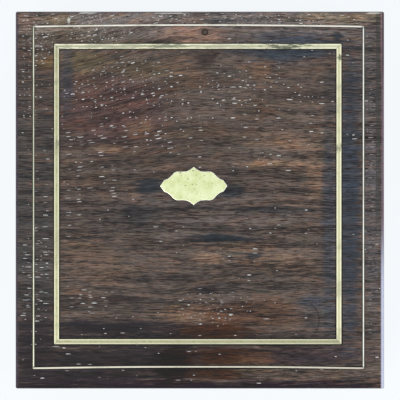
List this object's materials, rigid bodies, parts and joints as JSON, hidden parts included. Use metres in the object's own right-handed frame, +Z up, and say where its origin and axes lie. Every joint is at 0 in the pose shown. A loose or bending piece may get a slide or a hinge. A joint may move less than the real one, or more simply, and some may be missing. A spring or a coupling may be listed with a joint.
{
  "type": "silverware case",
  "caption": "Square rosewood silverware case with a brass-inlaid hinged lid, a link-plate lock, a lift-out divided tray and knife racks in the well.",
  "frame": {"origin": "centre of the underside, on the surface that the case stands on", "axes": "+Z up, +Y towards the hinged back, +X to the right of someone who faces the front; the lock is in the -Y wall"},
  "size_m": [0.3, 0.307, 0.1463],
  "materials": {
    "rosewood": "waxed satin, dark rosewood",
    "rosewood_top": "french polished, worn, open pores",
    "secondary_wood": "plain waxed secondary wood",
    "inlay_brass": "pale satin brass, tarnished in places",
    "hardware_brass": "aged brass",
    "screw_brass": "aged brass screws",
    "steel": "dark filed steel",
    "velvet": "crimson silk velvet",
    "silk": "crimson padded silk",
    "ribbon": "crimson silk ribbon"
  },
  "bodies": {
    "case": {"case_front": "rosewood", "case_back": "rosewood", "case_left": "rosewood", "case_right": "rosewood", "base_board": "secondary_wood", "well_floor_lining": "velvet", "well_lining_left": "velvet", "well_lining_right": "velvet", "well_lining_front": "velvet", "well_lining_back": "velvet", "knife_rack_front": "velvet", "knife_rack_back": "velvet", "lock_body": "hardware_brass", "lock_screw_left": "screw_brass", "lock_screw_right": "screw_brass", "escutcheon": "inlay_brass", "hinge_leaf_case_left": "hardware_brass", "hinge_leaf_case_right": "hardware_brass", "hinge_pin_left": "steel", "hinge_pin_right": "steel", "hinge_screw_case_left_outer": "screw_brass", "hinge_screw_case_left_inner": "screw_brass", "hinge_screw_case_right_outer": "screw_brass", "hinge_screw_case_right_inner": "screw_brass"},
    "lid": {"lid_front": "rosewood", "lid_back": "rosewood", "lid_left": "rosewood", "lid_right": "rosewood", "lid_board": "rosewood_top", "brass_band_front": "inlay_brass", "brass_band_back": "inlay_brass", "brass_band_left": "inlay_brass", "brass_band_right": "inlay_brass", "brass_line_front": "inlay_brass", "brass_line_back": "inlay_brass", "brass_line_left": "inlay_brass", "brass_line_right": "inlay_brass", "cartouche": "inlay_brass", "link_plate": "hardware_brass", "link_plate_screw_left": "screw_brass", "link_plate_screw_right": "screw_brass", "lid_pad": "silk", "hinge_leaf_lid_left": "hardware_brass", "hinge_leaf_lid_right": "hardware_brass", "hinge_screw_lid_left_outer": "screw_brass", "hinge_screw_lid_left_inner": "screw_brass", "hinge_screw_lid_right_outer": "screw_brass", "hinge_screw_lid_right_inner": "screw_brass"},
    "tray": {"tray_floor": "velvet", "tray_front": "secondary_wood", "tray_back": "secondary_wood", "tray_left": "secondary_wood", "tray_right": "secondary_wood", "tray_divider_left": "secondary_wood", "tray_divider_right": "secondary_wood", "tray_divider_cross": "secondary_wood", "tray_tab_left": "ribbon", "tray_tab_right": "ribbon"},
    "bolt": {"lock_bolt": "steel"}
  },
  "joints": [
    {"name": "lid_open", "type": "hinge", "parent": "case", "child": "lid", "pos_m": [0, 0.1501, 0.10215], "axis": [-1, 0, 0], "range_deg": [0, 95]},
    {"name": "tray_lift", "type": "slide", "parent": "case", "child": "tray", "axis": [0, 0, 1], "range_m": [0, 0.08]},
    {"name": "bolt_slide", "type": "slide", "parent": "case", "child": "bolt", "axis": [1, 0, 0], "range_m": [0, 0.005]}
  ],
  "couplings": [
    {"joint": "tray_lift", "follows": "lid_open", "m_per_rad": 0.04824}
  ]
}
